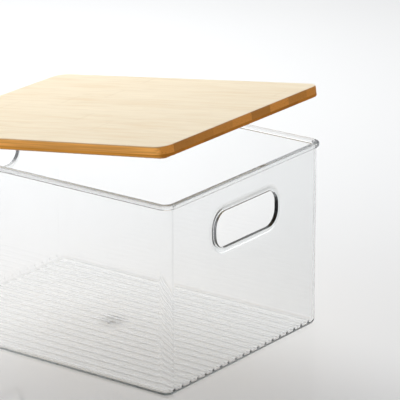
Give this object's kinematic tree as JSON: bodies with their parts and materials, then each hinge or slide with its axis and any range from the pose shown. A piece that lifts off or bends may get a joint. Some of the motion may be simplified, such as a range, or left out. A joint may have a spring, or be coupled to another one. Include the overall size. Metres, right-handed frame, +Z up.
{
  "type": "fridge bin",
  "caption": "Clear rectangular storage bin with a rolled rim, two handle openings and a ribbed floor, under a loose laminated bamboo lid.",
  "frame": {"origin": "centre of the bin's flat base, on the surface that it stands on", "axes": "+X runs along the bin towards the end that the lid is lifted from, +Y across the bin, +Z up out of its open top"},
  "size_m": [0.2652, 0.203, 0.1977],
  "materials": {
    "clear_plastic": "clear, polished",
    "bamboo_face": "pale natural bamboo, satin oiled",
    "bamboo_back": "natural bamboo, satin oiled"
  },
  "bodies": {
    "bin": {"bin": "clear_plastic"},
    "lid": {"lid_face_strip_1": "bamboo_face", "lid_face_strip_2": "bamboo_face", "lid_face_strip_3": "bamboo_face", "lid_face_strip_4": "bamboo_face", "lid_face_strip_5": "bamboo_face", "lid_face_strip_6": "bamboo_face", "lid_face_strip_7": "bamboo_face", "lid_face_strip_8": "bamboo_face", "lid_face_strip_9": "bamboo_face", "lid_back_strip_1": "bamboo_back", "lid_back_strip_2": "bamboo_back", "lid_back_strip_3": "bamboo_back", "lid_back_strip_4": "bamboo_back", "lid_back_strip_5": "bamboo_back", "lid_back_strip_6": "bamboo_back", "lid_back_strip_7": "bamboo_back", "lid_back_strip_8": "bamboo_back", "lid_back_strip_9": "bamboo_back", "lid_locating_panel": "bamboo_back"}
  },
  "joints": [
    {"name": "lid_tilt", "type": "hinge", "parent": "bin", "child": "lid", "pos_m": [-0.132, 0, 0.15205], "axis": [0, -1, 0], "range_deg": [-8.1, 76.9]}
  ]
}
